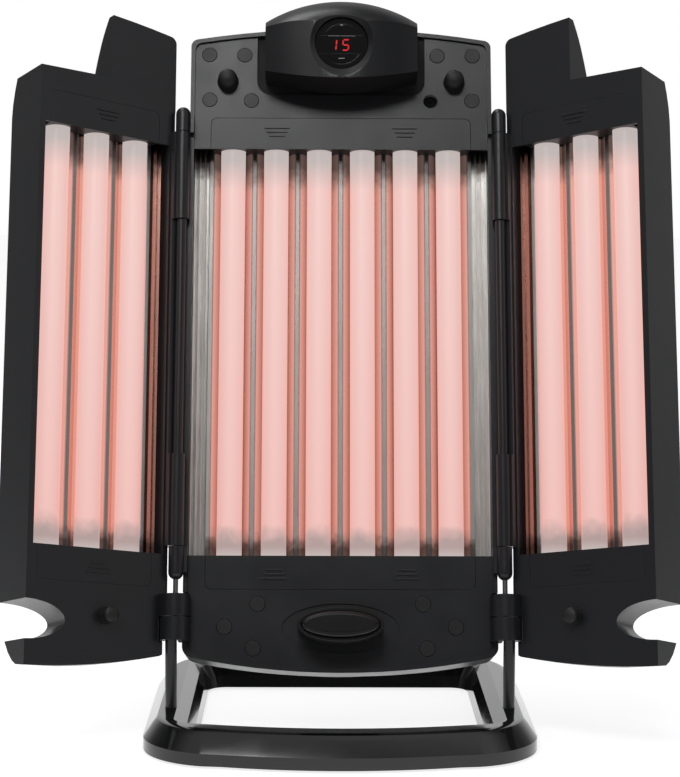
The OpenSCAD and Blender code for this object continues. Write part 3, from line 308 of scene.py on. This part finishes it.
# The record's material slots, then pieces with a finish of their own
MATS = {
    "case_black": moulded_abs("case_abs", "#1D1E22", "#191A1D", 0.31, 0.03),
    "gloss_black": polished_abs("ring_abs", "#08090A", 0.09, 50),
    "face_black": polished_abs("face_abs", "#050506", 0.06, 17),
    "rubber_black": moulded_rubber("black_rubber", "#151516", "#101010"),
    "post_metal": moulded_abs("black_enamel", "#27282B", "#232427", 0.30, 0.04, 0.7, 0.05),
    "steel": drawn_metal("plated_steel", "#8C8D90", "#7E7F82", 0.3),
    "cap_metal": drawn_metal("cap_aluminium", "#B8B8B8", "#A6A6A6", 0.3),
    "reflector_metal": bright_aluminium("center_aluminium", 0),
    "ballast_metal": drawn_metal("zinc_plate", "#8F9192", "#818384", 0.4),
    "holder_plastic": moulded_abs("holder_nylon", "#E8E5DE", "#DEDBD2", 0.4, 0.04, 0.7, 0.1),
    "board_green": moulded_abs("board_resin", "#1F5B3A", "#194D31", 0.4, 0.04, 0.7, 0.1),
    "display_red": lit_segment("display_epoxy", "#B01510", "#8E100C", 0.4),
    "tube_glass": phosphor_glass("tube_phosphor"),
}
OWN = {
    "control_head": moulded_abs("head_abs", "#18191C", "#141518", 0.34, 0.03, 0.3, 0.06),
    "screw_plugs": moulded_abs("plug_abs", "#0A0A0B", "#080809", 0.42),
    # The screw's steel is painted near black: painted shade of the hole it sits in
    "front_screw": drawn_metal("screw_steel_painted_shade", "#161617", "#121213", 0.5),
    "latch_button": moulded_abs("button_abs", "#0D0D0E", "#0B0B0C", 0.4, 0.03, 0.3, 0.06,
        Specular_IOR_Level=0.3),
    "latch_collar": moulded_abs("collar_abs", "#101012", "#0D0D0F", 0.4, 0.03, 0.3, 0.06,
        Specular_IOR_Level=0.3),
    "left_reflector": bright_aluminium("left_aluminium", -1),
    "right_reflector": bright_aluminium("right_aluminium", 1),
}
# Painted shade for the floor of the recess round the control head and of the screw hole
POCKET_SHADE = moulded_abs("pocket_painted_shade", "#0B0B0C", "#090909", 0.7)
INK = moulded_abs("grey_ink", "#9A9A9C", "#8E8E90", 0.4, 0.04, 0.7, 0.05)
DIGITS = lit_segment("digit_epoxy", "#E8141E", "#C80E18", 1.0)


# Pieces

# Points closer than this are one, edges sharper than this are rounded,
# and how much the large faces lead the shading
MERGE = 0.001 * MM
ROUNDED = math.radians(28)
LARGE_FACES = 80


def new_piece(name, mesh, body, mat):
    """An object for a finished mesh, which rides on a body and takes its finish from a slot."""
    obj = bpy.data.objects.new(name, mesh)
    bpy.context.scene.collection.objects.link(obj)
    mesh.materials.clear()
    mesh.materials.append(mat)
    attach(obj, body)
    return obj


def merged_copy(name):
    """A copy of a CAD piece's mesh, and its triangles joined up in a bmesh and shaded smooth."""
    mesh = nodes[name].data.copy()
    bm = bmesh.new()
    bm.from_mesh(mesh)
    bmesh.ops.remove_doubles(bm, verts=bm.verts, dist=MERGE)
    for face in bm.faces:
        face.smooth = True
    return mesh, bm


def soften(name, width, segments=2, flat=0.5):
    """The CAD piece with rounded edges in place of sharp ones. Faces within flat degrees of each
    other become one."""
    mesh, bm = merged_copy(name)
    bmesh.ops.dissolve_limit(bm, angle_limit=math.radians(flat), verts=bm.verts, edges=bm.edges)
    bm.to_mesh(mesh)
    bm.free()
    obj = new_piece(name + "_moulded", mesh, body_of[name], OWN.get(name, MATS[slot_of[name]]))
    bevel = obj.modifiers.new("edge", "BEVEL")
    bevel.width = width * MM
    bevel.segments = segments
    bevel.limit_method = "ANGLE"
    bevel.angle_limit = ROUNDED
    normals = obj.modifiers.new("normals", "WEIGHTED_NORMAL")
    normals.keep_sharp = False
    normals.weight = LARGE_FACES
    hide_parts(name)
    return obj


def paint_pocket_shade(mesh):
    """Painted shade: a rougher, near-black finish on the floor of the recess round the control head, and of
    the open screw hole.
    """
    shallow, deep, low = PLATE + 0.9, PLATE + 6, WINDOW_TOP + 8
    mesh.materials.append(POCKET_SHADE)
    for face in mesh.polygons:
        place = (face.center - PIVOT) / MM
        recessed = shallow < place.dot(BACK) < deep
        above_covers = place.dot(UP) > low
        faces_front = face.normal.dot(BACK) < -0.95
        if recessed and above_covers and faces_front:
            face.material_index = 1


def coiled_spring():
    """The release button's spring: a copy of its CAD piece that rides on the spring's body."""
    mesh, bm = merged_copy("latch_spring")
    bm.to_mesh(mesh)
    bm.free()
    spring = new_piece("latch_spring_coil", mesh, body_of["latch_spring"],
        MATS["steel"])
    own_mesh(spring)
    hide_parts("latch_spring")


# Widths of the moulded edges in millimetres
EDGES = {"center_frame": 0.5, "center_rear_cover": 1.0, "center_top_cover": 0.25, "center_bottom_cover": 0.25,
    "latch_collar": 0.6, "latch_button": 0.4, "up_key": 0.2, "down_key": 0.2, "display_lens": 0.2,
    "screw_plugs": 0.25, "mains_inlet": 0.4}
for side in ("left", "right"):
    EDGES.update({side + "_frame": 0.5, side + "_rear_cover": 1.0, side + "_top_cover": 0.12,
        side + "_bottom_cover": 0.12})
ROUND_EDGES = {"base_ring": 2.0, "control_head": 1.0}
moulded = {name: soften(name, width) for name, width in EDGES.items()}
moulded.update({name: soften(name, width, segments=4, flat=0.1) for name, width in ROUND_EDGES.items()})
paint_pocket_shade(moulded["center_frame"].data)
coiled_spring()

# Folds sharper than these stay crisp: on most pieces, and on the fluted sheets
SHARP, SHARP_SHEET = math.radians(30), math.radians(75)
for name, obj in nodes.items():
    if name not in moulded and name != "latch_spring":
        obj.data.materials.clear()
        obj.data.materials.append(OWN.get(name, MATS[slot_of[name]]))
        for poly in obj.data.polygons:
            poly.use_smooth = True
        obj.data.set_sharp_from_angle(angle=SHARP_SHEET if "reflector" in name else SHARP)


# Digits and marks on the round face

# Thickness of a mark, how far the lens and the keys stand out, and the digits' foot, height and bar width
PRINT = 0.12
ON_LENS, ON_KEY = 0.4, 0.5
DIGIT_LOW, DIGIT_H, BAR = -4.1, 6.8, 0.9


def printed(name, outlines, body, mat, out):
    """Flat marks on the round face: each outline is a list of (x, z) in millimetres from its middle."""
    bm = bmesh.new()
    for outline in outlines:
        flat = bm.faces.new([bm.verts.new(on_face(x, z, out)) for x, z in outline])
        raised = bmesh.ops.extrude_face_region(bm, geom=[flat])["geom"]
        bmesh.ops.translate(bm, verts=[v for v in raised if isinstance(v, bmesh.types.BMVert)],
            vec=-FACE_BACK * PRINT * MM)
    bmesh.ops.recalc_face_normals(bm, faces=bm.faces)
    mesh = bpy.data.meshes.new(name)
    bm.to_mesh(mesh)
    bm.free()
    new_piece(name, mesh, body, mat)


def segment(x0, z0, x1, z1, t):
    """Outline of one bar of a digit, with pointed ends, from one end to the other and t wide."""
    h = t / 2
    if abs(x1 - x0) > abs(z1 - z0):
        return [(x0 + h, z0 + h), (x0, z0), (x0 + h, z0 - h), (x1 - h, z1 - h), (x1, z1), (x1 - h, z1 + h)]
    return [(x0 - h, z0 + h), (x0, z0), (x0 + h, z0 + h), (x1 + h, z1 - h), (x1, z1), (x1 - h, z1 - h)]


def digit(lit, left, low, w, h, t):
    """Seven-segment digit that leans to the right: the outlines of its lit bars."""
    gap, lean = 0.12 * t, 0.1
    right, middle, top = left + w, low + h / 2, low + h
    ends = {"a": (left + gap, top, right - gap, top), "b": (right, middle + gap, right, top - gap),
        "c": (right, low + gap, right, middle - gap), "d": (left + gap, low, right - gap, low),
        "e": (left, low + gap, left, middle - gap), "f": (left, middle + gap, left, top - gap),
        "g": (left + gap, middle, right - gap, middle)}
    return [[(x + lean * (z - low), z) for x, z in segment(*ends[bar], t)] for bar in lit]


def level_bar(half, low, high):
    """Outline of a level bar in the middle of the face."""
    return [(-half, low), (half, low), (half, high), (-half, high)]


one = digit("bc", -7.3, DIGIT_LOW, 3.6, DIGIT_H, BAR)
five = digit("acdfg", 0.5, DIGIT_LOW, 3.7, DIGIT_H, BAR)
printed("display_digits", one + five, "panel", DIGITS, ON_LENS)
printed("lens_edge", [level_bar(8.7, 5.1, 5.4)], "panel", INK, ON_LENS)
printed("up_mark", [[(-1.1, 12.0), (1.1, 12.0), (0, 13.2)]], "up_key", INK, ON_KEY)
printed("down_mark", [level_bar(1.9, -9.8, -9.2)], "down_key", INK, ON_KEY)


# Floor, camera and light

# Focal length and picture height in pixels, and the camera's distance and what the lights aim at in metres
FOCAL_PX, PHOTO_HEIGHT_PX = 2224, 777
DISTANCE = 1.41
AIM = (0, 0.05, 0.42)


def pale_floor():
    """A white floor that keeps the object's shadow. To other rays it is bright behind the object and
    dim in front."""
    look = finish("pale_floor", Base_Color=(0.5, 0.5, 0.5, 1), Roughness=1.0, Specular_IOR_Level=0.0,
        Emission_Color=(1, 1, 1, 1))
    x = look.add("Math", {0: look.add("SeparateXYZ", {0: look.where}, "X")}, operation="ABSOLUTE")
    y = look.add("SeparateXYZ", {0: look.where}, "Y")
    behind = look.add("MapRange", {"Value": y, "From Min": -0.6, "From Max": 0.05, "To Min": 0.1,
        "To Max": 0.8})
    middle = look.add("MapRange", {"Value": x, "From Min": 0.2, "From Max": 0.7, "To Min": 1.0,
        "To Max": 0.1})
    level = look.add("Math", {0: behind, 1: middle}, operation="MULTIPLY")
    seen = look.add("LightPath", {}, "Is Camera Ray")
    look.put(look.add("Mix", {"Factor": seen, "A": level, "B": 0.8}, data_type="FLOAT"), "Emission Strength")
    bm = bmesh.new()
    bmesh.ops.create_grid(bm, x_segments=1, y_segments=1, size=15)
    mesh = bpy.data.meshes.new("floor")
    bm.to_mesh(mesh)
    bm.free()
    mesh.materials.append(look.mat)
    floor = bpy.data.objects.new("floor", mesh)
    bpy.context.scene.collection.objects.link(floor)


def studio():
    """White to the camera. To other rays it is bright behind the object, grey at the sides, dimmer on
    the left, and dark in front."""
    world = bpy.data.worlds.new("studio")
    bpy.context.scene.world = world
    world.use_nodes = True
    look = Finish(world.node_tree, "Background")
    ray = look.add("TexCoord", {}, "Generated")
    turn = look.add("MapRange", {"Value": look.add("SeparateXYZ", {0: ray}, "Y"), "From Min": 1.0,
        "From Max": -1.0})
    level = look.add("ValToRGB", {"Fac": turn}, stops=[(0.0, 1.0), (0.1, 0.7), (0.2, 0.28), (0.32, 0.15),
        (0.5, 0.18), (0.62, 0.32), (0.72, 0.32), (0.82, 0.1), (1.0, 0.08)])
    rise = look.add("MapRange", {"Value": look.add("SeparateXYZ", {0: ray}, "Z"), "From Min": 0.0,
        "From Max": 0.6, "To Min": 0.5, "To Max": 2.2})
    front = look.add("MapRange", {"Value": turn, "From Min": 0.45, "From Max": 0.65})
    gain = look.add("Mix", {"Factor": front, "A": 1.0, "B": rise}, data_type="FLOAT")
    right = look.add("MapRange", {"Value": look.add("SeparateXYZ", {0: ray}, "X"), "From Min": -1.0,
        "To Min": 0.6, "To Max": 1.1})
    light = look.add("Math", {0: look.add("Math", {0: level, 1: gain}, operation="MULTIPLY"), 1: right},
        operation="MULTIPLY")
    seen = look.add("LightPath", {}, "Is Camera Ray")
    look.put(look.add("Math", {0: light, 1: seen}, operation="MAXIMUM"), "Strength")
    look.shader.inputs["Color"].default_value = (1, 1, 1, 1)


def softbox(name, place, aim, size, power):
    """A rectangular studio light, turned to what it lights."""
    lamp = bpy.data.lights.new(name, "AREA")
    lamp.shape = "RECTANGLE"
    lamp.size, lamp.size_y = size
    lamp.energy = power
    obj = bpy.data.objects.new(name, lamp)
    obj.location = place
    obj.rotation_euler = (Vector(place) - Vector(aim)).to_track_quat("Z", "Y").to_euler()
    bpy.context.scene.collection.objects.link(obj)


def photo_camera():
    """Camera at the photograph's viewing angle: its aim on the panel, its turn, tilt and roll, and
    its distance."""
    lens = bpy.data.cameras.new("camera")
    lens.sensor_fit = "VERTICAL"
    lens.sensor_height = 24
    lens.lens = lens.sensor_height * FOCAL_PX / PHOTO_HEIGHT_PX
    camera = bpy.data.objects.new("camera", lens)
    turn, tilt, roll = (math.radians(angle) for angle in (-0.6, 5.1, 0.26))
    camera.matrix_world = (Matrix.Translation(at(-0.4, 4.6, 153)) @ Matrix.Rotation(turn, 4, "Z")
        @ Matrix.Rotation(math.pi / 2 - tilt, 4, "X") @ Matrix.Translation((0, 0, DISTANCE))
        @ Matrix.Rotation(roll, 4, "Z"))
    bpy.context.scene.collection.objects.link(camera)
    bpy.context.scene.camera = camera


pale_floor()
studio()
softbox("key", (-0.79, -2.97, 3.23), AIM, (2.2, 0.9), 52)
softbox("overhead", (-0.7, 0.45, 2.7), AIM, (1.4, 0.9), 18)
photo_camera()

bpy.context.scene.view_settings.view_transform = "Standard"
